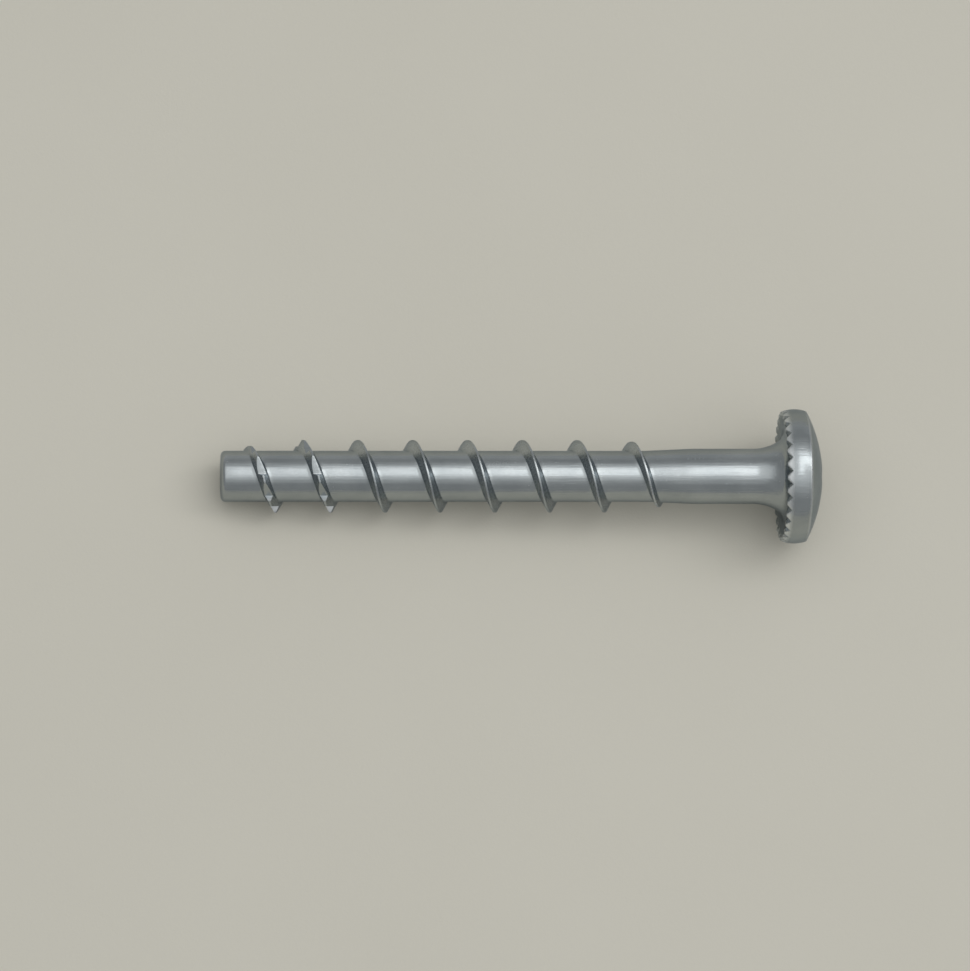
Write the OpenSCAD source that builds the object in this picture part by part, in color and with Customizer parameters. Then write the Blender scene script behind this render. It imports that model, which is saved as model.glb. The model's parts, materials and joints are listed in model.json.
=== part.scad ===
// Concrete screw: a one-piece zinc-plated steel screw that cuts its own thread in a drilled hole.
// The screw is drawn upright on its own axis, tip at zero and head on top, then laid down
// the way it comes to rest: on the rim of its head and on two teeth of its first thread turn.

/* [Shank] */
// Length from the tip to the bearing ring under the head
under_head_l = 60; // [50:1:80]
// Diameter of the core that carries the thread
core_d = 5.45; // [5:0.05:5.6]
// Diameter of the plain shank between thread and head
shank_d = 5.9; // [5.7:0.05:6.1]
// Radius that breaks the edge of the blunt tip
tip_edge_r = 0.5; // [0.3:0.05:1.2]
// Distance from the bearing ring down to the point where the shank has its full diameter
shank_l = 9.7; // [6:0.1:14]
// Length of the cone that widens the core to the shank
shank_cone_l = 4.8; // [2:0.1:8]

/* [Head] */
// Largest diameter of the head, where its rim bulges most
head_d = 14.4; // [13.5:0.1:16]
// Height of the head above the bearing ring
head_h = 4.4; // [3.9:0.1:5]
// Height of the rim below the dome
rim_h = 2.65; // [2:0.05:3]
// Height at which the bulging rim is widest
rim_widest_h = 1.44; // [1:0.02:1.8]
// Radius of the bulge of the rim
rim_r = 3.6; // [3:0.1:8]
// Width of the broken edge between rim and dome
rim_edge = 0.1; // [0.05:0.05:0.4]
// Radius of the flare that runs from the shank into the head
flare_r = 5.1; // [4.4:0.1:6]
// Length of the flare below the bearing ring
flare_l = 3; // [2.4:0.1:3.4]
// Width of the flat bearing ring at the foot of the rim
bearing_ring_w = 0.37; // [0.2:0.01:0.6]
// Depth of the dish under the head
dish_depth = 0.45; // [0.3:0.05:0.6]

/* [Lock serrations] */
// Number of V grooves round the bearing ring
serration_count = 30; // [24:1:36]
// Depth of a groove where it leaves the rim
serration_depth = 0.6; // [0.3:0.05:0.7]
// Angle between the two sides of a groove
serration_angle = 100; // [70:5:110]

/* [Drive recess] */
// Six-lobe recess: diameter over the lobes
recess_d = 5.6; // [4.5:0.1:6]
// Six-lobe recess: diameter between the ribs
recess_rib_d = 3.95; // [3.3:0.05:4.1]
// Radius of the ribs that separate the lobes
recess_rib_r = 1.2; // [1:0.05:1.4]
// Depth of the recess below the top of the dome
recess_depth = 2.9; // [2:0.1:3.2]

/* [Thread] */
// Diameter over the thread
thread_d = 7.75; // [7:0.05:8.4]
// Axial distance from one turn to the next
pitch = 5.87; // [5:0.01:7]
// Distance from the tip to the start of the thread
thread_start = 1.92; // [1.5:0.01:4]
// Distance from the bearing ring to the end of the thread
thread_end = 9.7; // [7:0.1:14]
// Width of a turn at the core
thread_root_w = 1.3; // [1.1:0.05:2]
// Width of the flat crest of a turn
thread_crest_w = 0.2; // [0.1:0.02:0.6]
// Angle over which the thread rises out of the core at the tip
run_in = 120; // [60:5:270]
// Length over which the thread fades towards the head
run_out_l = 9.6; // [4:0.1:12]

/* [Cutting teeth] */
// Number of saw-tooth notches on one turn
teeth_per_turn = 8; // [5:1:9]
// Number of notches counted from the start of the thread
tooth_count = 16; // [8:1:24]
// Angle from the start of the thread to the cutting face of the first notch
first_face = 54.6; // [40:0.2:80]
// Angle of the long flat ramp that leads down into a notch
ramp_angle = 30; // [20:0.5:34]
// Angle taken up by the steep cutting face of a tooth
face_angle = 3; // [1:0.5:5]
// Diameter at the bottom of a notch
notch_d = 6.4; // [5.7:0.05:7]

/* [Hidden] */
zinc = [0.62, 0.64, 0.66];
$fn = 120;

core_r = core_d / 2;
shank_r = shank_d / 2;
head_r = head_d / 2;
thread_r = thread_d / 2;
notch_r = notch_d / 2;
cut_margin = 0.5;
groove_margin = 0.1;

// Circular arcs that follow from half a chord and its height
function arc_radius(half_chord, height) = (half_chord * half_chord + height * height) / (2 * height);

// The rim is an arc that is cut off at its foot and at its top
rim_foot_r = head_r - rim_r + sqrt(rim_r * rim_r - rim_widest_h * rim_widest_h);
rim_top_h = rim_h - rim_widest_h;
rim_top_r = head_r - rim_r + sqrt(rim_r * rim_r - rim_top_h * rim_top_h);
// The flare meets the dish, and the dish meets the bearing ring, level with that ring
flare_top_r = shank_r + flare_r - sqrt(flare_r * flare_r - flare_l * flare_l);
dish_half_w = (rim_foot_r - bearing_ring_w - flare_top_r) / 2;
dish_mid_r = flare_top_r + dish_half_w;

dome_r = arc_radius(rim_top_r, head_h - rim_h);
dish_r = arc_radius(dish_half_w, dish_depth);
flare_centre = [shank_r + flare_r, under_head_l - flare_l];
dish_centre = [dish_mid_r, under_head_l + dish_depth - dish_r];
rim_centre = [head_r - rim_r, under_head_l + rim_widest_h];
dome_centre = [0, under_head_l + head_h - dome_r];

flare_angle = asin(flare_l / flare_r);
dish_angle = asin(dish_half_w / dish_r);
rim_foot_angle = asin(rim_widest_h / rim_r);
rim_top_angle = asin((rim_top_h - rim_edge) / rim_r);
dome_edge_angle = acos((rim_top_r - rim_edge) / dome_r);

// Points along an arc
arc_steps = 10;
function arc(centre, r, from, to) =
    [for (i = [0 : arc_steps]) let (a = from + (to - from) * i / arc_steps) centre + r * [cos(a), sin(a)]];

// The cold-headed blank, as one half section turned round the axis
function blank_section() = concat(
    [[0, 0]],
    arc([core_r - tip_edge_r, tip_edge_r], tip_edge_r, -90, 0),
    [[core_r, under_head_l - shank_l - shank_cone_l], [shank_r, under_head_l - shank_l]],
    arc(flare_centre, flare_r, 180, 180 - flare_angle),
    arc(dish_centre, dish_r, 90 + dish_angle, 90 - dish_angle),
    arc(rim_centre, rim_r, -rim_foot_angle, rim_top_angle),
    arc(dome_centre, dome_r, dome_edge_angle, 90)
);

module blank() {
    rotate_extrude() polygon(blank_section());
}

// One V groove, level with the bearing ring over the dish and deepest where it leaves the rim
module serration() {
    reach = head_r - dish_mid_r;
    slope = atan(serration_depth / reach);
    cut_h = serration_depth + groove_margin;
    half_w = cut_h * tan(serration_angle / 2);
    translate([dish_mid_r, 0, under_head_l])
        rotate([0, -slope, 0]) rotate([90, 0, 90])
            linear_extrude(reach + cut_margin)
                polygon([[0, 0], [-half_w, -cut_h], [half_w, -cut_h]]);
}

module serrations() {
    for (i = [0 : serration_count - 1]) rotate(i * 360 / serration_count) serration();
}

// The six-lobe socket for the driver bit. Its ribs and lobes are arcs that run into each other,
// and that fixes the radius of the lobes.
recess_r = recess_d / 2;
lobe_pitch = 60;
half_lobe = lobe_pitch / 2;
rib_at = recess_rib_d / 2 + recess_rib_r;
rib_along = rib_at * cos(half_lobe);
lobe_r = (pow(rib_at, 2) + pow(recess_r, 2) - pow(recess_rib_r, 2) - 2 * recess_r * rib_along)
    / (2 * (recess_r + recess_rib_r - rib_along));
lobe_at = recess_r - lobe_r;
meet_angle = atan2(lobe_at * sin(half_lobe), lobe_at * cos(half_lobe) - rib_at);

function polar(r, a) = r * [cos(a), sin(a)];
function recess_outline() = [for (a = [0 : lobe_pitch : 359]) each concat(
    arc(polar(rib_at, a), recess_rib_r, a + 360 - meet_angle, a + meet_angle),
    arc(polar(lobe_at, a + half_lobe), lobe_r, a + meet_angle - 180, a + lobe_pitch + 180 - meet_angle))];

// The socket is open at the top of the dome
module drive_recess() {
    translate([0, 0, under_head_l + head_h - recess_depth])
        linear_extrude(recess_depth + cut_margin) polygon(recess_outline());
}

// The thread, as a ridge swept round the core. Angles count from the start of the thread.
thread_h = thread_r - core_r;
thread_l = under_head_l - thread_end - thread_start;
thread_angle = 360 * thread_l / pitch;
run_out = 360 * run_out_l / pitch;
tooth_pitch = 360 / teeth_per_turn;
flank = (thread_root_w - thread_crest_w) / 2 / thread_h;
root_depth = 0.35;
start_sink = 0.2;
plain_step = 12;
ramp_steps = 3;
land_angle = tooth_pitch - ramp_angle - face_angle;

// Height of the whole ridge over the core: it rises at the tip, and fades in a curve at the head
function rise(a) = min(1, a / run_in * (1 + start_sink) - start_sink);
function fade(a) = 1 - pow(max(0, a - thread_angle + run_out) / run_out, 2) * (1 + start_sink);
function ridge_r(a) = core_r + thread_h * min(rise(a), fade(a));

// Angles where a section of the ridge is needed: the corners of every tooth, then even steps
tooth_end = first_face + (tooth_count - 1) * tooth_pitch + face_angle;
function tooth_angles(face) = concat(
    [for (i = [0 : ramp_steps]) face - ramp_angle * (1 - i / ramp_steps)],
    [face + face_angle, face + face_angle + land_angle / 2]);
plain_count = ceil((thread_angle - tooth_end - land_angle) / plain_step);
ridge_angles = concat(
    [0, (first_face - ramp_angle) / 2],
    [for (i = [0 : tooth_count - 1]) each tooth_angles(first_face + i * tooth_pitch)],
    [for (i = [0 : plain_count])
        tooth_end + land_angle + (thread_angle - tooth_end - land_angle) * i / plain_count]);

// Radius left by the notches: a flat ramp down to the notch, then the cutting face straight up again
function notch_r_at(a) =
    let (before = (first_face - a) % tooth_pitch)
    let (ahead = before < 0 ? before + tooth_pitch : before)
    let (behind = tooth_pitch - ahead)
    a > tooth_end ? thread_r :
    ahead < ramp_angle ? thread_r * notch_r * sin(ramp_angle)
        / (thread_r * sin(ramp_angle - ahead) + notch_r * sin(ahead)) :
    behind < face_angle ? notch_r + (thread_r - notch_r) * behind / face_angle : thread_r;

// A section is four points: root, crest, crest, root. Its flanks keep their angle as it fades.
function ridge_half_w(a, r) = thread_crest_w / 2 + (ridge_r(a) - r) * flank;
function ridge_point(a, r, side) =
    [r * cos(a), r * sin(a), thread_start + pitch * a / 360 + side * ridge_half_w(a, r)];
function ridge_section(a) =
    let (top = min(ridge_r(a), notch_r_at(a)), root = core_r - root_depth)
    [ridge_point(a, root, -1), ridge_point(a, top, -1), ridge_point(a, top, 1), ridge_point(a, root, 1)];

module thread() {
    sections = len(ridge_angles);
    points = [for (a = ridge_angles) each ridge_section(a)];
    sides = [for (s = [0 : sections - 2]) for (k = [0 : 3])
        let (p = 4 * s + k, q = 4 * s + (k + 1) % 4)
        each [[p, q, p + 4], [q, q + 4, p + 4]]];
    last = 4 * (sections - 1);
    caps = [[2, 1, 0], [3, 2, 0], [last, last + 1, last + 2], [last, last + 2, last + 3]];
    polyhedron(points, concat(sides, caps));
}

// The lying pose: the rim and a tooth beside the notch that faces down both touch the ground
notch_down = 6;
tooth_gap = ramp_angle + face_angle;
down_angle = first_face + notch_down * tooth_pitch + (face_angle - ramp_angle) / 2;
foot = [thread_r * cos(tooth_gap / 2),
        thread_start + pitch * (down_angle - tooth_gap / 2) / 360 - thread_crest_w / 2];
rim_to_foot = [rim_centre[1] - foot[1], rim_centre[0] - foot[0]];
rest_tilt = asin(rim_r / norm(rim_to_foot)) + atan2(rim_to_foot[1], rim_to_foot[0]);
rest_z = foot[0] * cos(rest_tilt) - foot[1] * sin(rest_tilt);

// The ends of the lying screw along the ground: the upper edge of the tip, and a rib of the recess
rib = [recess_rib_d / 2, dome_centre[1] + sqrt(pow(dome_r, 2) - pow(recess_rib_d / 2, 2))];
tip_x = tip_edge_r * (cos(rest_tilt) - 1) - (core_r - tip_edge_r) * sin(rest_tilt);
head_x = rib[1] * cos(rest_tilt) + rib[0] * sin(rest_tilt);

module lay_down() {
    translate([-(tip_x + head_x) / 2, 0, rest_z])
        rotate([0, 90 - rest_tilt, 0]) rotate(-down_angle) children();
}

module concrete_screw() {
    color(zinc) lay_down() {
        difference() {
            blank();
            serrations();
            drive_recess();
        }
        thread();
    }
}

concrete_screw();
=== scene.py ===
# %% [markdown]
# # A concrete screw, dressed for its portrait
# The screw is one piece of zinc-plated steel: a blunt core with a coarse thread that cuts its own way in,
# a plain shank, and a wide pan head with lock serrations underneath. The packed solid gives its place and
# size. This lesson turns it into one smooth, closed mesh with a satin zinc finish.

# %% Load the packed solid
import json
import math

import bmesh
import bpy
from mathutils import Matrix, Vector


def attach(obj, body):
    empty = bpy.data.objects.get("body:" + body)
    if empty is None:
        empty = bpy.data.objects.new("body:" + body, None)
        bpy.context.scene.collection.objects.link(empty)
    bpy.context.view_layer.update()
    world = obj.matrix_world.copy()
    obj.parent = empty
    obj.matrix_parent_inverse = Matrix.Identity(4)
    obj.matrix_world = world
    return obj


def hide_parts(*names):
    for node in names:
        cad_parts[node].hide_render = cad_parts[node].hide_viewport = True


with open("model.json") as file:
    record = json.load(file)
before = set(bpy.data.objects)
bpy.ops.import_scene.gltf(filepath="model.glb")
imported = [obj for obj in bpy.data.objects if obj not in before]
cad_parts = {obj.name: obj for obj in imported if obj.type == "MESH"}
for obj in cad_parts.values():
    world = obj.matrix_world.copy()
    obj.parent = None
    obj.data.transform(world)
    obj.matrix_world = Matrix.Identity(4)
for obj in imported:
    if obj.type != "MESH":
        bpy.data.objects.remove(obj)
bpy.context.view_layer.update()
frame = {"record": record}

# %% [markdown]
# ## Sizes and the lying pose
# All sizes are in millimetres along the screw's own axis: the tip is at zero, the head on top, and angles
# count from the start of the thread. A shape like this could be modelled where it lies, but every rule of
# the thread is simpler upright. So the mesh is made upright and laid down at the end by one matrix. The
# drive recess's mount in the packed record gives the axis, and the roll is the one in which two teeth touch
# the ground.

# %% Sizes in millimetres, angles in degrees
MM = 0.001
UNDER_HEAD, CORE_R, SHANK_R, TIP_EDGE = 60.0, 2.725, 2.95, 0.5
CONE_FROM, CONE_TO = 45.5, 50.3
HEAD_R, HEAD_H, RIM_H, RIM_WIDEST, RIM_R, RIM_EDGE = 7.2, 4.4, 2.65, 1.44, 3.6, 0.1
FLARE_R, FLARE_L, RING_W, DISH_DEPTH = 5.1, 3.0, 0.37, 0.45
SERRATIONS, SERRATION_DEPTH, SERRATION_ANGLE = 30, 0.6, 100.0
RECESS_R, RIB_R, RIB_FROM, RECESS_DEPTH = 2.8, 1.2, 1.975, 2.9
THREAD_R, PITCH, THREAD_START, THREAD_END = 3.875, 5.87, 1.92, 50.3
ROOT_W, CREST_W, RUN_IN, RUN_OUT_L = 1.3, 0.2, 120.0, 9.6
TEETH_PER_TURN, TOOTH_COUNT, FIRST_FACE = 8, 16, 54.6
RAMP, FACE, NOTCH_R = 30.0, 3.0, 3.2
TOOTH_PITCH = 360 / TEETH_PER_TURN
LAND = TOOTH_PITCH - RAMP - FACE
FIRST_RAMP = FIRST_FACE - RAMP
NOTCH_DOWN = 6
DOWN_ANGLE = FIRST_FACE + NOTCH_DOWN * TOOTH_PITCH + (FACE - RAMP) / 2

mounts = {m["name"]: m for m in frame["record"]["mounts"]}
axis = Vector(mounts["drive_recess"]["axis"]).normalized()
apex = Vector(mounts["drive_recess"]["pos_m"])
tip = apex - axis * (UNDER_HEAD + HEAD_H) * MM
tilt = math.asin(axis.z)
turn_down = Matrix.Rotation(math.pi / 2 - tilt, 4, "Y") @ Matrix.Rotation(-math.radians(DOWN_ANGLE), 4, "Z")
lay_down = Matrix.Translation(tip) @ turn_down @ Matrix.Scale(MM, 4)
print("tilt of the axis: %.2f degrees, roll %.1f degrees" % (math.degrees(tilt), DOWN_ANGLE))

# %% [markdown]
# ## The camera
# The photograph looks at the screw almost square on, from far away, a little from the side of the tip, so
# that the serrated underside of the head shows. The axis is level in the picture. A long lens does this.
# The camera is set from the screw's own directions: along the axis, and across it towards the viewer.

# %% Camera
VIEW_ABOVE = math.radians(72.1)
FROM_TIP_SIDE = math.radians(4.4)
DISTANCE = 0.899
FOCAL_PX, IMAGE_W = 8417, 970
CENTRE_ALONG, CENTRE_BELOW = 28.24, 0.98

upright = Vector((-axis.z, 0, axis.x))
to_viewer = Vector((0, -1, 0)) * math.cos(VIEW_ABOVE) + upright * math.sin(VIEW_ABOVE)
back = to_viewer * math.cos(FROM_TIP_SIDE) - axis * math.sin(FROM_TIP_SIDE)
right = axis * math.cos(FROM_TIP_SIDE) + to_viewer * math.sin(FROM_TIP_SIDE)
above = back.cross(right)
look_at = tip + axis * CENTRE_ALONG * MM - above * CENTRE_BELOW * MM

lens = bpy.data.cameras.new("camera")
lens.sensor_fit, lens.sensor_width = "HORIZONTAL", 36
lens.lens = lens.sensor_width * FOCAL_PX / IMAGE_W
lens.clip_start, lens.clip_end = 0.01, 20
camera = bpy.data.objects.new("camera", lens)
facing = Matrix((right, above, back)).transposed().to_4x4()
camera.matrix_world = Matrix.Translation(look_at + back * DISTANCE) @ facing
bpy.context.scene.collection.objects.link(camera)
bpy.context.scene.camera = camera
print("camera at", [round(v, 3) for v in camera.matrix_world.translation], "lens %.0f mm" % lens.lens)

# %% [markdown]
# ## Node helpers
# Geometry Nodes and shaders are both built from many small maths nodes. Placing them one by one makes a
# script that nobody can read, so a field is wrapped in a small class that knows how to add and multiply.
# After that, a rule is written as a plain formula, and each operation drops one node into the tree.

# %% A field that can be written as a formula
def put(tree, term, socket):
    """Links a field to a socket, or sets a plain value on it."""
    if isinstance(term, Field):
        tree.links.new(term.socket, socket)
    else:
        socket.default_value = term


class Field:
    """A value in a node tree. Each operation on it adds one node."""
    def __init__(self, tree, socket):
        self.tree, self.socket = tree, socket

    def calc(self, operation, *terms):
        node = self.tree.nodes.new("ShaderNodeMath")
        node.operation = operation
        for term, socket in zip(terms, node.inputs):
            put(self.tree, term, socket)
        return Field(self.tree, node.outputs[0])

    def between(self, low, high):
        """0 below low, 1 above high."""
        node = self.tree.nodes.new("ShaderNodeMapRange")
        for term, name in ((self, "Value"), (low, "From Min"), (high, "From Max")):
            put(self.tree, term, node.inputs[name])
        return Field(self.tree, node.outputs["Result"])

    def __add__(self, other): return self.calc("ADD", self, other)
    def __radd__(self, other): return self.calc("ADD", other, self)
    def __sub__(self, other): return self.calc("SUBTRACT", self, other)
    def __rsub__(self, other): return self.calc("SUBTRACT", other, self)
    def __mul__(self, other): return self.calc("MULTIPLY", self, other)
    def __truediv__(self, other): return self.calc("DIVIDE", self, other)
    def __rtruediv__(self, other): return self.calc("DIVIDE", other, self)
    def __abs__(self): return self.calc("ABSOLUTE", self)
    def floor(self): return self.calc("FLOOR", self)
    def round(self): return self.calc("ROUND", self)
    def sign(self): return self.calc("SIGN", self)
    def cos(self): return self.calc("COSINE", self)
    def sin(self): return self.calc("SINE", self)
    def tan(self): return self.calc("TANGENT", self)
    def angle_from(self, x): return self.calc("ARCTAN2", self, x)
    def radians(self): return self.calc("RADIANS", self)
    def root(self): return self.calc("SQRT", self)
    def least(self, other): return self.calc("MINIMUM", self, other)
    def most(self, other): return self.calc("MAXIMUM", self, other)
    def soft_least(self, other, blend): return self.calc("SMOOTH_MIN", self, other, blend)
    def soft_most(self, other, blend): return self.calc("SMOOTH_MAX", self, other, blend)
    def above(self, limit): return self.calc("GREATER_THAN", self, limit)


print("named operations of a field:", [name for name in vars(Field) if name[0] != "_"])

# %% [markdown]
# ## Satin zinc
# The plating is a thin blue-grey metal skin. It is neither mirror nor matt: a lamp shows in it as a soft
# band, and at a glancing angle it mirrors less than bare metal does, which the shader's specular tint gives.
# Up close it has a fine grain, broad cloudy tones from the plating bath, and long faint marks where the wire
# was drawn. A lighter colour is mixed in from an attribute of the mesh: real wear on the edges that have
# rubbed, and painted highlight and painted reflection on the cutting faces, the thread flanks and the teeth
# under the head. A photograph could be wrapped round the screw, but noise that lives in space has no seam and
# no stretch. Grain and cloud make one shader group, because the floor uses them too, and the drawn marks make
# another.

# %% Shader group for grain and cloud
def shader_group(name, inputs, outputs):
    tree = bpy.data.node_groups.new(name, "ShaderNodeTree")
    for title, kind in inputs:
        tree.interface.new_socket(title, in_out="INPUT", socket_type=kind)
    for title in outputs:
        tree.interface.new_socket(title, in_out="OUTPUT", socket_type="NodeSocketFloat")
    start, end = tree.nodes.new("NodeGroupInput"), tree.nodes.new("NodeGroupOutput")
    return tree, start.outputs, end.inputs


def noise(tree, vector, scale, detail, roughness=0.5):
    node = tree.nodes.new("ShaderNodeTexNoise")
    tree.links.new(vector, node.inputs["Vector"])
    put(tree, scale, node.inputs["Scale"])
    node.inputs["Detail"].default_value = detail
    node.inputs["Roughness"].default_value = roughness
    return Field(tree, node.outputs["Fac"])


def mapped(tree, vector, scale, rotation=(0, 0, 0)):
    node = tree.nodes.new("ShaderNodeMapping")
    tree.links.new(vector, node.inputs["Vector"])
    node.inputs["Scale"].default_value = scale
    node.inputs["Rotation"].default_value = rotation
    return node.outputs["Vector"]


CLOUD_FROM, CLOUD_FULL = 0.3, 0.7

grain_tree, given, result = shader_group(
    "fine_grain",
    [("Vector", "NodeSocketVector"), ("Grain", "NodeSocketFloat"), ("Cloud", "NodeSocketFloat")],
    ["Grain", "Cloud"])
grain_scale, cloud_scale = Field(grain_tree, given["Grain"]), Field(grain_tree, given["Cloud"])
fine = noise(grain_tree, given["Vector"], grain_scale, detail=4.0, roughness=0.6)
cloudy = noise(grain_tree, given["Vector"], cloud_scale, detail=3.0, roughness=0.55)
put(grain_tree, fine, result["Grain"])
put(grain_tree, cloudy.between(CLOUD_FROM, CLOUD_FULL), result["Cloud"])
print("shader group:", grain_tree.name, len(grain_tree.nodes), "nodes")

# %% Shader group for drawn marks and scratches
DRAWN_SCALE = (3.2, 3.2, 0.1)
SCRATCH_TURN_AND_SCALE = ((0.5, (0.35, 9, 9)), (-0.7, (9, 0.4, 9)), (1.1, (9, 9, 0.35)))
SCRATCH_FROM, SCRATCH_FULL = 0.71, 0.78

marks_tree, given, result = shader_group(
    "drawn_marks", [("Vector", "NodeSocketVector")], ["Marks", "Scratches"])
marks = noise(marks_tree, mapped(marks_tree, given["Vector"], DRAWN_SCALE), 1.0, detail=3.0, roughness=0.6)
put(marks_tree, marks, result["Marks"])
scratch = None
for turn, scale in SCRATCH_TURN_AND_SCALE:
    stretched = mapped(marks_tree, given["Vector"], scale, (turn, 0.6 * turn, turn))
    line = noise(marks_tree, stretched, 1.0, detail=1.0).between(SCRATCH_FROM, SCRATCH_FULL)
    scratch = line if scratch is None else scratch.most(line)
put(marks_tree, scratch, result["Scratches"])
print("shader group:", marks_tree.name, len(marks_tree.nodes), "nodes")

# %% The zinc material
def use_group(tree, group, vector, **values):
    node = tree.nodes.new("ShaderNodeGroup")
    node.node_tree = group
    tree.links.new(vector, node.inputs["Vector"])
    for title, value in values.items():
        node.inputs[title].default_value = value
    return {output.name: Field(tree, output) for output in node.outputs}


def mixed_colour(tree, share, dark, light):
    node = tree.nodes.new("ShaderNodeMix")
    node.data_type = "RGBA"
    put(tree, share, node.inputs[0])
    for colour, socket in ((dark, node.inputs[6]), (light, node.inputs[7])):
        if isinstance(colour, tuple):
            socket.default_value = colour
        else:
            tree.links.new(colour, socket)
    return node.outputs[2]


def bumped(tree, height, depth):
    node = tree.nodes.new("ShaderNodeBump")
    node.inputs["Distance"].default_value = depth
    put(tree, height, node.inputs["Height"])
    return node.outputs["Normal"]


def new_material(name):
    material = bpy.data.materials.new(name)
    material.use_nodes = True
    tree = material.node_tree
    place = tree.nodes.new("ShaderNodeTexCoord").outputs["Object"]
    return material, tree, tree.nodes["Principled BSDF"], place


# The attribute named here lightens the zinc towards a pale colour: real wear on edges, and painted highlight
# and painted reflection on the cutting faces, the thread flanks and the teeth under the head.
WEAR_AND_SHEEN_ATTRIBUTE = "wear_and_sheen"
ZINC_DARK, ZINC_LIGHT = (0.33, 0.36, 0.37, 1), (0.445, 0.475, 0.48, 1)
ZINC_WEAR_AND_SHEEN, GLANCING_TINT = (0.8, 0.82, 0.82, 1), (0.56, 0.6, 0.65, 1)
ZINC_GRAIN, ZINC_CLOUD, CLOUD_SHARE, MARKS_SHARE = 5.0, 0.28, 0.6, 0.4
WEAR_AND_SHEEN_FROM, WEAR_AND_SHEEN_FULL, WEAR_AND_SHEEN_MOST, WEAR_AND_SHEEN_SHARE = -0.5, 0.7, 0.8, 0.9
SATIN, MATT_GRAIN, MATT_MARKS, SHINY_SCRATCH, MATT_WEAR_AND_SHEEN = 0.17, 0.08, 0.08, 0.03, 0.14
GRAIN_HIGH, MARKS_HIGH, SCRATCH_LOW, RELIEF = 0.5, 1.5, 0.3, 0.000012

zinc, tree, shader, place = new_material("satin_zinc")
along_screw = mapped(tree, place, (1 / MM, 1 / MM, 1 / MM), (0, tilt - math.pi / 2, 0))
grain = use_group(tree, grain_tree, along_screw, Grain=ZINC_GRAIN, Cloud=ZINC_CLOUD)
drawn = use_group(tree, marks_tree, along_screw)
# Painted highlight and painted reflection, partly real wear: the attribute mixes in a lighter zinc and a
# little more roughness.
wear_and_sheen = tree.nodes.new("ShaderNodeAttribute")
wear_and_sheen.attribute_name = WEAR_AND_SHEEN_ATTRIBUTE
wear_and_sheen_mix = Field(tree, wear_and_sheen.outputs["Fac"]) * grain["Grain"].between(WEAR_AND_SHEEN_FROM, WEAR_AND_SHEEN_FULL) * WEAR_AND_SHEEN_MOST
light_share = grain["Cloud"] * CLOUD_SHARE + drawn["Marks"] * MARKS_SHARE
tone = mixed_colour(tree, light_share, ZINC_DARK, ZINC_LIGHT)
tree.links.new(mixed_colour(tree, wear_and_sheen_mix * WEAR_AND_SHEEN_SHARE, tone, ZINC_WEAR_AND_SHEEN), shader.inputs["Base Color"])
shader.inputs["Metallic"].default_value = 1.0
shader.inputs["Specular Tint"].default_value = GLANCING_TINT
roughness = (SATIN + grain["Grain"] * MATT_GRAIN + drawn["Marks"] * MATT_MARKS
             - drawn["Scratches"] * SHINY_SCRATCH + wear_and_sheen_mix * MATT_WEAR_AND_SHEEN)
put(tree, roughness, shader.inputs["Roughness"])
height = grain["Grain"] * GRAIN_HIGH + drawn["Marks"] * MARKS_HIGH - drawn["Scratches"] * SCRATCH_LOW
tree.links.new(bumped(tree, height, RELIEF), shader.inputs["Normal"])
print("material:", zinc.name, len(tree.nodes), "nodes")

# %% [markdown]
# ## The plain blank: tip, shank and head
# A screw starts as a length of wire that is headed cold, so it is round about its axis almost everywhere.
# Spinning a section would do, but the six-lobe recess in the head is not round. So the rings are laid out
# in code: each ring is a radius and a height, and the rings of the recess get a radius for every angle.
# Every ring has 240 points, which is 30 for each of the 8 teeth of a turn and 8 for each of the 30
# serrations. Near the thread the points follow the teeth, and along the shank they even out.

# %% Rings of points
RING = 240
PER_TOOTH = RING // TEETH_PER_TURN
RAMP_CELLS, FACE_CELLS = 15, 4
LAND_FROM = RAMP_CELLS + FACE_CELLS
EVEN_FROM = 360 / RING * round(FIRST_RAMP * RING / 360)


def tooth_angle(i):
    """Where point i stands when the points follow the teeth: ramp, cutting face, land."""
    tooth, cell = divmod(i, PER_TOOTH)
    if cell < RAMP_CELLS:
        part = RAMP * cell / RAMP_CELLS
    elif cell < LAND_FROM:
        part = RAMP + FACE * (cell - RAMP_CELLS) / FACE_CELLS
    else:
        part = RAMP + FACE + LAND * (cell - LAND_FROM) / (PER_TOOTH - LAND_FROM)
    return FIRST_RAMP + tooth * TOOTH_PITCH + part


def ring_angle(i, evenness):
    """Between the spacing of the teeth, at 0, and an even spacing, at 1."""
    return (1 - evenness) * tooth_angle(i) + evenness * (EVEN_FROM + 360 * i / RING)


def ring(radius, height, evenness=1.0, wear_and_sheen=0.0):
    """A ring of points and its value of wear and painted sheen; a radius may follow the angle, and a height
    the radius.
    """
    points = []
    for i in range(RING):
        angle = ring_angle(i, evenness)
        r = radius(angle) if callable(radius) else radius
        z = height(r) if callable(height) else height
        points.append((r * math.cos(math.radians(angle)), r * math.sin(math.radians(angle)), z))
    return points, wear_and_sheen


print("ring of", RING, "points; a tooth starts every %.2f degrees" % TOOTH_PITCH)

# %% The tip
THREADED_FROM, TIP_STEPS, TIP_RUB = 1.4, 10, 0.05
TIP_FACE = (0.6, 1.2, 1.7)


def arc(centre, r, start, end, steps):
    """Points on an arc between two angles."""
    angles = [math.radians(start + (end - start) * k / steps) for k in range(steps + 1)]
    return [(centre[0] + r * math.cos(a), centre[1] + r * math.sin(a)) for a in angles]


tip_edge = arc((CORE_R - TIP_EDGE, TIP_EDGE), TIP_EDGE, -90, 0, TIP_STEPS)
tip_rings = [ring(r, 0.0, 0.0) for r in TIP_FACE]
tip_rings += [ring(r, z, 0.0, TIP_RUB) for r, z in tip_edge]
tip_rings += [ring(CORE_R, THREADED_FROM, 0.0)]
print("tip:", len(tip_rings), "rings")

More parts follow.
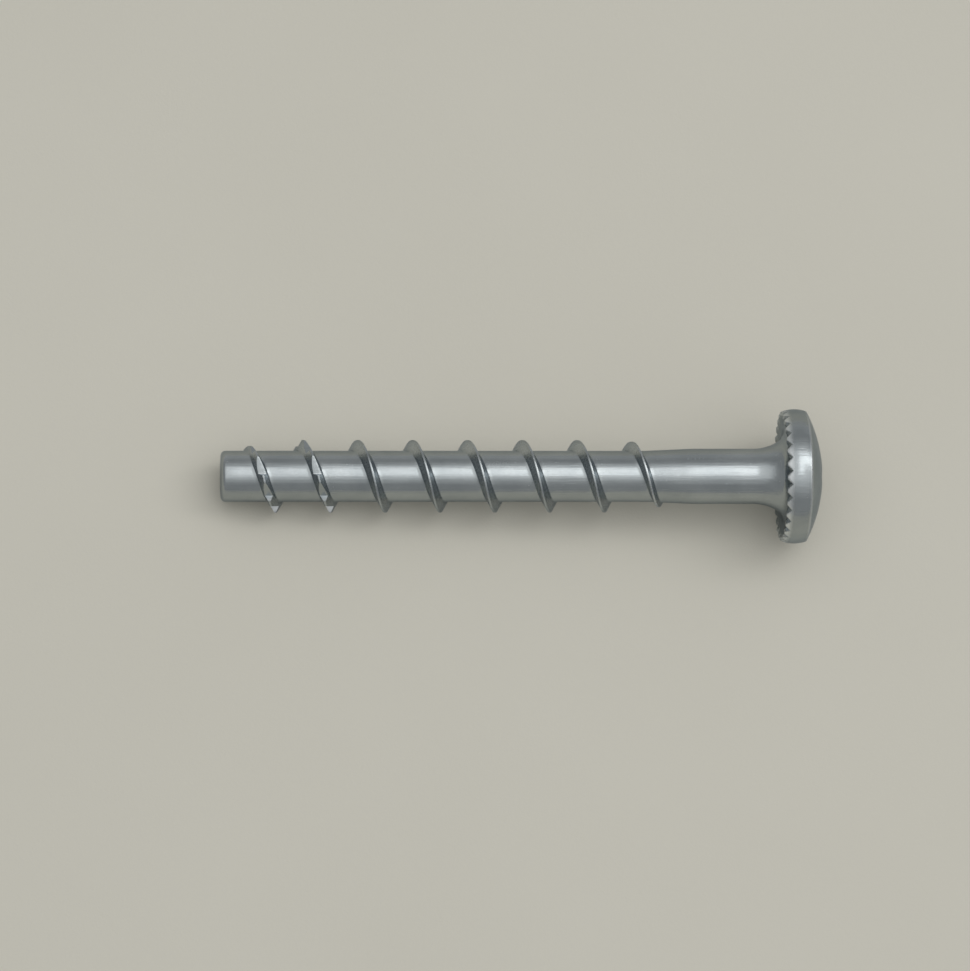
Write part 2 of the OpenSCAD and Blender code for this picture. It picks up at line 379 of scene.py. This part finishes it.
# %% Curves of the head
def arc_radius(half_chord, rise):
    """Radius of the arc that rises this far over a chord."""
    return (half_chord**2 + rise**2) / (2 * rise)


rim_centre = (HEAD_R - RIM_R, UNDER_HEAD + RIM_WIDEST)


def rim(z):
    """Radius of the bulging rim at a height."""
    return rim_centre[0] + math.sqrt(RIM_R**2 - (z - rim_centre[1])**2)


rim_foot, rim_top = rim(UNDER_HEAD), rim(UNDER_HEAD + RIM_H)
flare_top = SHANK_R + FLARE_R - math.sqrt(FLARE_R**2 - FLARE_L**2)
dish_half = (rim_foot - RING_W - flare_top) / 2
dish_mid = flare_top + dish_half
dish_r = arc_radius(dish_half, DISH_DEPTH)
dome_r = arc_radius(rim_top, HEAD_H - RIM_H)
dome_centre = UNDER_HEAD + HEAD_H - dome_r


def dome(r):
    """Height of the dome at a radius."""
    return dome_centre + math.sqrt(dome_r**2 - r**2)


print("dome of %.1f mm radius, dish of %.2f mm radius" % (dome_r, dish_r))

# %% Shank, flare, dish and rim
THREADED_TO, SHANK_STEPS, FLARE_STEPS, DISH_STEPS = 51.2, 6, 14, 24
# The bearing ring carries wear and some painted highlight on its lands; the teeth at the foot of the rim carry
# a painted reflection of bright surroundings.
BEARING, BEARING_EDGE, BEARING_WEAR_AND_SHEEN = (6.61, 6.73), 0.05, 0.8
SHEEN_AT_FOOT, SHEEN_LOST_PER_MM, TEETH_SHEEN = 2.2, 3, 1.2
RIM_STEPS = (0.04, 0.09, 0.16, 0.23, 0.3, 0.37, 0.44, 0.52, 0.64,
             0.82, 1.05, 1.3, 1.55, 1.8, 2.05, 2.25, 2.42)


def even_ring(point, wear_and_sheen=0.0):
    return ring(point[0], point[1], 1.0, wear_and_sheen)


def teeth_sheen(up):
    """Painted reflection on the teeth at the foot of the rim, fading out up the rim above them."""
    return min(TEETH_SHEEN, max(0.0, SHEEN_AT_FOOT - SHEEN_LOST_PER_MM * up))


plain_l = UNDER_HEAD - FLARE_L - THREADED_TO
flare_angle = math.degrees(math.asin(FLARE_L / FLARE_R))
flare = arc((SHANK_R + FLARE_R, UNDER_HEAD - FLARE_L), FLARE_R, 180, 180 - flare_angle, FLARE_STEPS)
dish_angle = math.degrees(math.asin(dish_half / dish_r))
dish_centre = (dish_mid, UNDER_HEAD + DISH_DEPTH - dish_r)
dish = arc(dish_centre, dish_r, 90 + dish_angle, 90 - dish_angle, DISH_STEPS)

head_rings = [ring(SHANK_R, THREADED_TO + k * plain_l / SHANK_STEPS, k / SHANK_STEPS)
              for k in range(SHANK_STEPS)]
head_rings += [even_ring(p) for p in flare + dish[1:]]
head_rings += [even_ring((r, UNDER_HEAD), BEARING_WEAR_AND_SHEEN) for r in BEARING + (rim_foot - BEARING_EDGE,)]
head_rings += [even_ring((rim(UNDER_HEAD + up), UNDER_HEAD + up), teeth_sheen(up)) for up in RIM_STEPS]
print("shank to rim:", len(head_rings), "rings")

# %% [markdown]
# ## The drive recess
# A driver bit with six lobes turns the screw, so the head has a socket of the same form. It could be cut out
# with a lobed bar, but a cut leaves ragged faces at the mouth. Here the rings of the dome change step by step
# from a circle to the lobed outline and then run down the wall, so that the mouth is rounded and stays closed.

# %% The wall of the six-lobe recess
LOBE_PITCH = 60.0
HALF_LOBE = math.radians(LOBE_PITCH / 2)
RIB_AT = RIB_FROM + RIB_R
RIB_ALONG = RIB_AT * math.cos(HALF_LOBE)
LOBE_R = ((RIB_AT**2 + RECESS_R**2 - RIB_R**2 - 2 * RECESS_R * RIB_ALONG)
          / (2 * (RECESS_R + RIB_R - RIB_ALONG)))
LOBE_AT = RECESS_R - LOBE_R
meeting = math.atan2(LOBE_AT * math.sin(HALF_LOBE), LOBE_AT * math.cos(HALF_LOBE) - RIB_AT)
RIB_ENDS = math.atan2(RIB_R * math.sin(meeting), RIB_AT + RIB_R * math.cos(meeting))


def lobe_radius(angle):
    """Distance from the axis to the recess's wall: a rounded rib, or the rounded lobe beside it."""
    off = math.radians(abs((angle + LOBE_PITCH / 2) % LOBE_PITCH - LOBE_PITCH / 2))
    if off < RIB_ENDS:
        return RIB_AT * math.cos(off) - math.sqrt(RIB_R**2 - (RIB_AT * math.sin(off))**2)
    off = HALF_LOBE - off
    return LOBE_AT * math.cos(off) + math.sqrt(LOBE_R**2 - (LOBE_AT * math.sin(off))**2)


print("ribs of %.2f mm radius, lobes of %.2f mm radius" % (RIB_R, LOBE_R))

# %% The rim's upper edge, the dome and the recess
EDGE_SHARES, EDGE_SWELL = (0.0, 0.12, 0.3, 0.5, 0.7, 0.88, 1.0), 0.02
DOME_SHARES = (0.05, 0.15, 0.28, 0.42, 0.56, 0.7, 0.82, 0.92, 0.97)
RIM_EDGE_RUB, MOUTH_RUB, MOUTH = 0.5, 0.6, 0.1
MOUTH_OUT_AND_DOWN = ((1.0, 0.0), (0.62, 0.02), (0.3, 0.075), (0.1, 0.16))
WALL_FROM = 0.3
WALL_DEPTH_AND_DRAFT = ((1.0, 0.01), (1.7, 0.02), (2.3, 0.03), (2.62, 0.04))
FLOOR_SHARE_AND_RISE = ((0.97, 0.12), (0.9, 0.03), (0.7, 0.0), (0.4, 0.0))

edge_top, edge_in = UNDER_HEAD + RIM_H - RIM_EDGE, rim_top - RIM_EDGE
for share in EDGE_SHARES:
    swell = EDGE_SWELL * math.sin(math.pi * share)
    r = rim(edge_top) + (edge_in - rim(edge_top)) * share + swell
    z = edge_top + (dome(edge_in) - edge_top) * share + swell
    head_rings.append(even_ring((r, z), RIM_EDGE_RUB))
for share in DOME_SHARES:
    inward = lambda angle, s=share: edge_in + (lobe_radius(angle) + MOUTH - edge_in) * s
    head_rings.append(ring(inward, dome))
for out, down in MOUTH_OUT_AND_DOWN:
    mouth = lambda angle, o=out: lobe_radius(angle) + MOUTH * o
    head_rings.append(ring(mouth, lambda r, d=down: dome(r) - d, wear_and_sheen=MOUTH_RUB))
head_rings.append(ring(lobe_radius, lambda r: dome(r) - WALL_FROM))
for depth, draft in WALL_DEPTH_AND_DRAFT:
    head_rings.append(ring(lambda angle, d=draft: lobe_radius(angle) - d, UNDER_HEAD + HEAD_H - depth))
recess_floor = UNDER_HEAD + HEAD_H - RECESS_DEPTH
for share, rise in FLOOR_SHARE_AND_RISE:
    head_rings.append(ring(lambda angle, s=share: lobe_radius(angle) * s, recess_floor + rise))
print("shank to the floor of the recess:", len(head_rings), "rings")

# %% The blank
def ring_mesh(rings, first_pole=None, last_pole=None):
    """Points, faces, and wear and painted sheen of a stack of rings, with a point to close either end."""
    points, faces, sheen_and_wear = [], [], []
    for ring_points, ring_sheen_and_wear in rings:
        points += ring_points
        sheen_and_wear += [ring_sheen_and_wear] * RING
    for k in range(len(rings) - 1):
        for i in range(RING):
            j = (i + 1) % RING
            faces.append((k * RING + i, k * RING + j, (k + 1) * RING + j, (k + 1) * RING + i))
    for pole, start in ((first_pole, 0), (last_pole, (len(rings) - 1) * RING)):
        if pole is not None:
            points.append((0, 0, pole))
            sheen_and_wear.append(0.0)
            top = len(points) - 1
            for i in range(RING):
                pair = (start + i, start + (i + 1) % RING)
                faces.append((top,) + (pair if start else pair[::-1]))
    return points, faces, sheen_and_wear


blank = bpy.data.meshes.new("concrete_screw")
tip_points, tip_faces, tip_rub = ring_mesh(tip_rings, first_pole=0.0)
head_points, head_faces, head_sheen_and_wear = ring_mesh(head_rings, last_pole=recess_floor)
shift = len(tip_points)
head_faces = [tuple(v + shift for v in face) for face in head_faces]
blank.from_pydata(tip_points + head_points, [], tip_faces + head_faces)
blank.attributes.new(WEAR_AND_SHEEN_ATTRIBUTE, "FLOAT", "POINT").data.foreach_set("value", tip_rub + head_sheen_and_wear)
screw = bpy.data.objects.new("concrete_screw", blank)
bpy.context.scene.collection.objects.link(screw)
print("blank:", len(blank.vertices), "points,", len(blank.polygons), "faces")

# %% [markdown]
# ## The self-cutting thread
# The thread is a ridge that winds round the core. It rises out of the core at the tip, carries two turns
# of saw-tooth notches that do the cutting, and fades out on the shank. A profile swept along a spiral would
# leave a second skin hidden inside the core. Here a flat grid is wound round the core instead: one direction
# counts the angle, the other goes across the ridge from the middle of one gap to the next. The tree computes
# a radius for each point, and welding closes the gaps between turns and to the tip and shank. The tree also
# stores a painted highlight on the cutting faces and a painted reflection on the flanks, as a value that
# lightens the metal.

# %% Thread tree: a flat grid and its angles
# Cells from the middle of the ridge: the flat crest, then a flank, then half of the gap.
FLANK_FROM, GAP_FROM, HALF = 3, 8, 13
TOOTH_PITCHES_BEFORE, TOOTH_PITCHES_AFTER = 6, 71
FIRST_STATION = -TOOTH_PITCHES_BEFORE * PER_TOOTH
STATIONS = TOOTH_PITCHES_AFTER * PER_TOOTH - FIRST_STATION


def geometry_tree(name, sizes):
    """A new tree with one named input for each size. Returns the tree, its geometry and its sizes."""
    tree = bpy.data.node_groups.new(name, "GeometryNodeTree")
    tree.interface.new_socket("Geometry", in_out="INPUT", socket_type="NodeSocketGeometry")
    tree.interface.new_socket("Geometry", in_out="OUTPUT", socket_type="NodeSocketGeometry")
    for size in sizes:
        tree.interface.new_socket(size, in_out="INPUT", socket_type="NodeSocketFloat")
    start = tree.nodes.new("NodeGroupInput")
    return tree, start.outputs["Geometry"], {size: Field(tree, start.outputs[size]) for size in sizes}


def position_parts(tree):
    place = tree.nodes.new("GeometryNodeInputPosition")
    parts = tree.nodes.new("ShaderNodeSeparateXYZ")
    tree.links.new(place.outputs[0], parts.inputs[0])
    return [Field(tree, output) for output in parts.outputs]


thread_tree, blank_in, size = geometry_tree(
    "self_cutting_thread",
    ["Core radius", "Thread radius", "Shank radius", "Notch radius", "Pitch", "Crest width", "Root width",
     "Run in", "Run out", "Teeth"])
grid = thread_tree.nodes.new("GeometryNodeMeshGrid")
for title, value in (("Size X", STATIONS), ("Size Y", 2 * HALF), ("Vertices X", STATIONS + 1),
                     ("Vertices Y", 2 * HALF + 1)):
    grid.inputs[title].default_value = value
across_x, across_y, _ = position_parts(thread_tree)

station = across_x.round() + (FIRST_STATION + STATIONS / 2)
tooth = ((station + 0.5) / PER_TOOTH).floor()
cell = station - tooth * PER_TOOTH
on_ramp, on_face = cell.between(0, RAMP_CELLS), cell.between(RAMP_CELLS, LAND_FROM)
on_land = cell.between(LAND_FROM, PER_TOOTH)
angle = FIRST_RAMP + tooth * TOOTH_PITCH + on_ramp * RAMP + on_face * FACE + on_land * LAND
print("grid of", STATIONS, "by", 2 * HALF, "cells")

# %% Thread tree: height of the ridge and its notches
START_SINK = 0.2

tall = size["Thread radius"] - size["Core radius"]
thread_angle = (THREAD_END - THREAD_START) * 360 / size["Pitch"]
fading = (angle - thread_angle + size["Run out"]).most(0.0) / size["Run out"]
rise = (angle / size["Run in"] * (1 + START_SINK) - START_SINK).least(1.0)
ridge = tall * rise.least(1.0 - fading * fading * (1 + START_SINK))
toothed = tooth.above(-0.5) * (size["Teeth"] - tooth).above(0.5)
high, low = size["Thread radius"], size["Notch radius"]
down, up = (on_ramp * RAMP).radians().sin(), ((1.0 - on_ramp) * RAMP).radians().sin()
flat_ramp = high * low * math.sin(math.radians(RAMP)) / (high * down + low * up)
notch = high - flat_ramp - (high - low) * on_face
top = ridge.least(tall - notch * toothed)
print("ridge %.2f mm high with %d notches" % (THREAD_R - CORE_R, TOOTH_COUNT))

# %% Thread tree: radius across the ridge
EDGE_SOFT, ROOT_SOFT, LEAST_FLANK = 0.09, 0.16, 0.05

centre = THREAD_START + angle / 360 * size["Pitch"]
flank = (size["Root width"] - size["Crest width"]) / 2 / tall
shank_swell = size["Shank radius"] - size["Core radius"]
crest_half = size["Crest width"] / 2
flat_w = crest_half + (ridge - top) * flank
root_w = crest_half + (ridge - shank_swell * centre.between(CONE_FROM, CONE_TO)) * flank
flank_w = (root_w - flat_w).most(LEAST_FLANK)
gap_w = size["Pitch"] / 2 - flat_w - flank_w

steps = abs(across_y).round()
on_flat, on_flank = steps.between(0, FLANK_FROM), steps.between(FLANK_FROM, GAP_FROM)
in_gap = steps.between(GAP_FROM, HALF)
aside = flat_w * on_flat + flank_w * on_flank + gap_w * in_gap * in_gap
z = (centre + across_y.sign() * aside).most(THREADED_FROM).least(THREADED_TO)
core = size["Core radius"] + shank_swell * z.between(CONE_FROM, CONE_TO)
crest = top.soft_least(ridge - (aside - crest_half) / flank, EDGE_SOFT)
radius = core.soft_most(size["Core radius"] + crest, ROOT_SOFT)
print("ridge %.1f mm wide at its foot, %.1f mm at its crest" % (ROOT_W, CREST_W))

# %% Thread tree: painted reflection on the flanks, painted highlight on the cutting faces
# The flanks carry a painted reflection of the lit core beside them, less towards the crest; the cutting faces
# carry a painted highlight.
FLANK_SHEEN, FLANK_SHEEN_FULL = 0.35, 0.4
CREST_LESS, CREST_LESS_FROM, CREST_LESS_FULL = 0.25, 0.7, 0.95
JUST_ON, NEARLY_OFF = 0.01, 0.98


def keep_sheen_and_wear(tree, geometry, sheen_and_wear):
    """Stores each point's wear and painted sheen, for the material to read."""
    node = tree.nodes.new("GeometryNodeStoreNamedAttribute")
    node.data_type, node.domain = "FLOAT", "POINT"
    node.inputs["Name"].default_value = WEAR_AND_SHEEN_ATTRIBUTE
    put(tree, sheen_and_wear, node.inputs["Value"])
    tree.links.new(geometry, node.inputs["Geometry"])
    return node.outputs["Geometry"]


# The cutting faces are found here for their painted highlight.
on_top = (FLANK_FROM + 0.5 - steps).above(0.0)
in_notch = on_top * toothed * on_ramp.above(JUST_ON) * (NEARLY_OFF - on_face).above(0.0)
cutting = in_notch * on_ramp.above(NEARLY_OFF)
height = crest / tall
flank_sheen = (height.between(0.0, FLANK_SHEEN_FULL) * FLANK_SHEEN
             - height.between(CREST_LESS_FROM, CREST_LESS_FULL) * CREST_LESS)
grid_with_sheen = keep_sheen_and_wear(thread_tree, grid.outputs["Mesh"], (flank_sheen * (1.0 - in_notch)).most(cutting))
print("rub on the flanks", FLANK_SHEEN, "and near the crest %.2f" % (FLANK_SHEEN - CREST_LESS))

# %% Thread tree: wind the grid round the core and weld it on
WELD = 0.002


def set_position(tree, geometry, x, y, z, selection=None):
    join = tree.nodes.new("ShaderNodeCombineXYZ")
    for term, socket in zip((x, y, z), join.inputs):
        put(tree, term, socket)
    node = tree.nodes.new("GeometryNodeSetPosition")
    tree.links.new(geometry, node.inputs["Geometry"])
    tree.links.new(join.outputs[0], node.inputs["Position"])
    if selection:
        tree.links.new(selection.socket, node.inputs["Selection"])
    return node.outputs[0]


def end_tree(tree, geometry, material):
    real = tree.nodes.new("GeometryNodeRealizeInstances")
    paint = tree.nodes.new("GeometryNodeSetMaterial")
    paint.inputs["Material"].default_value = material
    end = tree.nodes.new("NodeGroupOutput")
    tree.links.new(geometry, real.inputs[0])
    tree.links.new(real.outputs[0], paint.inputs["Geometry"])
    tree.links.new(paint.outputs[0], end.inputs["Geometry"])


def add_tree(piece, tree, sizes):
    """Puts a tree on a piece and sets its sizes by the sockets' identifiers."""
    modifier = piece.modifiers.new(tree.name, "NODES")
    modifier.node_group = tree
    for socket in tree.interface.items_tree:
        if socket.in_out == "INPUT" and socket.name in sizes:
            modifier[socket.identifier] = sizes[socket.name]


turn = angle.radians()
wound = set_position(thread_tree, grid_with_sheen, radius * turn.cos(), radius * turn.sin(), z)
both = thread_tree.nodes.new("GeometryNodeJoinGeometry")
thread_tree.links.new(wound, both.inputs[0])
thread_tree.links.new(blank_in, both.inputs[0])
weld = thread_tree.nodes.new("GeometryNodeMergeByDistance")
weld.inputs["Distance"].default_value = WELD
thread_tree.links.new(both.outputs[0], weld.inputs["Geometry"])
end_tree(thread_tree, weld.outputs[0], zinc)
add_tree(screw, thread_tree, {
    "Core radius": CORE_R, "Thread radius": THREAD_R, "Shank radius": SHANK_R, "Notch radius": NOTCH_R,
    "Pitch": PITCH, "Crest width": CREST_W, "Root width": ROOT_W, "Run in": RUN_IN,
    "Run out": RUN_OUT_L * 360 / PITCH, "Teeth": float(TOOTH_COUNT)})
print("thread tree:", len(thread_tree.nodes), "nodes")

# %% [markdown]
# ## Lock serrations under the head
# Thirty V grooves are pressed across the bearing ring, and they notch the lower edge of the rim. They could
# be cut with thirty wedges, but a cut leaves long thin faces on the rounded rim. A tree lifts the points
# that lie under a groove up to its floor instead, so the rim keeps its clean rings.

# %% Serration tree
GROOVE_SOFT, WELL_IN = 0.06, 0.02

press_tree, head_in, size = geometry_tree(
    "lock_serrations", ["Count", "Depth", "Half angle", "Inner radius", "Outer radius"])
x, y, z = position_parts(press_tree)
r = (x * x + y * y).root()
around = y.angle_from(x) / (2 * math.pi) * size["Count"]
off_middle = abs(around - around.round()) / size["Count"] * (2 * math.pi) * r
depth = size["Depth"] * (r - size["Inner radius"]) / (size["Outer radius"] - size["Inner radius"])
groove = UNDER_HEAD + depth - off_middle / size["Half angle"].radians().tan()
inside = r.above(size["Inner radius"])
# The wear and painted highlight are taken off where a groove lies, so the lands stay bright against plain
# grooves.
old_sheen_and_wear = press_tree.nodes.new("GeometryNodeInputNamedAttribute")
old_sheen_and_wear.data_type = "FLOAT"
old_sheen_and_wear.inputs["Name"].default_value = WEAR_AND_SHEEN_ATTRIBUTE
sheen_and_wear_left = Field(press_tree, old_sheen_and_wear.outputs[0]) * (1.0 - inside * (groove - z).above(WELL_IN))
head_with_sheen_and_wear = keep_sheen_and_wear(press_tree, head_in, sheen_and_wear_left)
pressed = set_position(press_tree, head_with_sheen_and_wear, x, y, z.soft_most(groove, GROOVE_SOFT), inside)
end_tree(press_tree, pressed, zinc)
add_tree(screw, press_tree, {
    "Count": float(SERRATIONS), "Depth": SERRATION_DEPTH, "Half angle": SERRATION_ANGLE / 2,
    "Inner radius": dish_mid, "Outer radius": HEAD_R})
print("serration tree:", len(press_tree.nodes), "nodes")

# %% [markdown]
# ## From nodes to a plain mesh
# Other programs can't read a tree of nodes, so the result becomes a plain mesh. Then it is laid down, its
# faces are turned outwards, and edges sharper than a limit are marked so that they stay crisp.

# %% Bake the trees and lay the screw down
SHARP = math.radians(34)
evaluated = screw.evaluated_get(bpy.context.evaluated_depsgraph_get())
mesh = bpy.data.meshes.new_from_object(evaluated)
screw.modifiers.clear()
mesh.transform(lay_down)
work = bmesh.new()
work.from_mesh(mesh)
bmesh.ops.dissolve_degenerate(work, dist=WELD * MM / 2, edges=work.edges)
bmesh.ops.recalc_face_normals(work, faces=work.faces)
open_edges = sum(1 for e in work.edges if len(e.link_faces) != 2)
volume = work.calc_volume()
work.to_mesh(mesh)
work.free()
mesh.shade_smooth()
mesh.set_sharp_from_angle(angle=SHARP)
mesh.name = "concrete_screw_mesh"
screw.data = mesh
bpy.data.meshes.remove(blank)
triangles = sum(len(p.vertices) - 2 for p in mesh.polygons)
print("screw: %d triangles, %d open edges, %.1f mm3" % (triangles, open_edges, volume / MM**3))

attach(screw, "root")
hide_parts("concrete_screw")

# %% [markdown]
# ## Floor and light
# The screw lies on a plain pale floor. Metal shows its surroundings, so the lights are laid out for
# what they look like in it. A bright softbox above draws the band along the screw, a narrower one carries it
# on over the rim of the head, two wider and dimmer ones soften its edges, and a low one behind lights the far
# side. A single lamp would leave a hard line. An even grey surrounding fills the rest.

# %% Floor
FLOOR_HALF = 3.0
FLOOR_CORNERS = ((-1, -1), (1, -1), (1, 1), (-1, 1))
FLOOR_DARK, FLOOR_LIGHT = (0.651, 0.627, 0.544, 1), (0.671, 0.647, 0.563, 1)
FLOOR_GRAIN, FLOOR_CLOUD, FLOOR_ROUGH, FLOOR_RELIEF = 3.0, 0.02, 0.8, 0.00002

floor_mesh = bpy.data.meshes.new("floor")
floor_mesh.from_pydata([(sx * FLOOR_HALF, sy * FLOOR_HALF, 0) for sx, sy in FLOOR_CORNERS],
                       [], [(0, 1, 2, 3)])
floor = bpy.data.objects.new("floor", floor_mesh)
bpy.context.scene.collection.objects.link(floor)
pale, tree, shader, place = new_material("pale_floor")
in_mm = mapped(tree, place, (1 / MM, 1 / MM, 1 / MM))
grain = use_group(tree, grain_tree, in_mm, Grain=FLOOR_GRAIN, Cloud=FLOOR_CLOUD)
tree.links.new(mixed_colour(tree, grain["Cloud"], FLOOR_DARK, FLOOR_LIGHT), shader.inputs["Base Color"])
shader.inputs["Roughness"].default_value = FLOOR_ROUGH
tree.links.new(bumped(tree, grain["Grain"], FLOOR_RELIEF), shader.inputs["Normal"])
floor_mesh.materials.append(pale)
print("floor of", 2 * FLOOR_HALF, "m")

# %% Light
SURROUNDING = (0.36, 0.367, 0.371, 1)
# A row is: name, angle above the ground on the viewer's side in degrees, length along the screw, width
# across it, place of its middle along the screw, distance, brightness.
SOFTBOXES = (
    ("key_softbox", 93.5, 0.23, 0.48, 0.085, 0.8, 1.27),
    ("head_softbox", 101, 0.8, 0.27, 0.6, 0.81, 1.6),
    ("wide_softbox", 90, 1.85, 1.0, 0.075, 0.9, 0.4),
    ("widest_softbox", 88, 1.65, 2.0, 0.175, 1.0, 0.2),
    ("back_softbox", 169, 2.0, 0.46, 0.1, 1.2, 0.12))

along = Vector((1, 0, 0))
for name, elevation, length, width, middle, distance, brightness in SOFTBOXES:
    lamp = bpy.data.lights.new(name, "AREA")
    lamp.shape, lamp.size, lamp.size_y = "RECTANGLE", length, width
    lamp.energy = brightness * math.pi * length * width
    turn = math.radians(elevation)
    away = Vector((0, -math.cos(turn), math.sin(turn)))
    rig = bpy.data.objects.new(name, lamp)
    facing = Matrix((along, away.cross(along), away)).transposed().to_4x4()
    rig.matrix_world = Matrix.Translation(along * middle + away * distance) @ facing
    bpy.context.scene.collection.objects.link(rig)

world = bpy.data.worlds.new("surrounding")
world.use_nodes = True
background = world.node_tree.nodes["Background"]
background.inputs["Color"].default_value = SURROUNDING
background.inputs["Strength"].default_value = 1.0
bpy.context.scene.world = world
bpy.context.scene.view_settings.view_transform = "Standard"

# %% [markdown]
# ## Finish
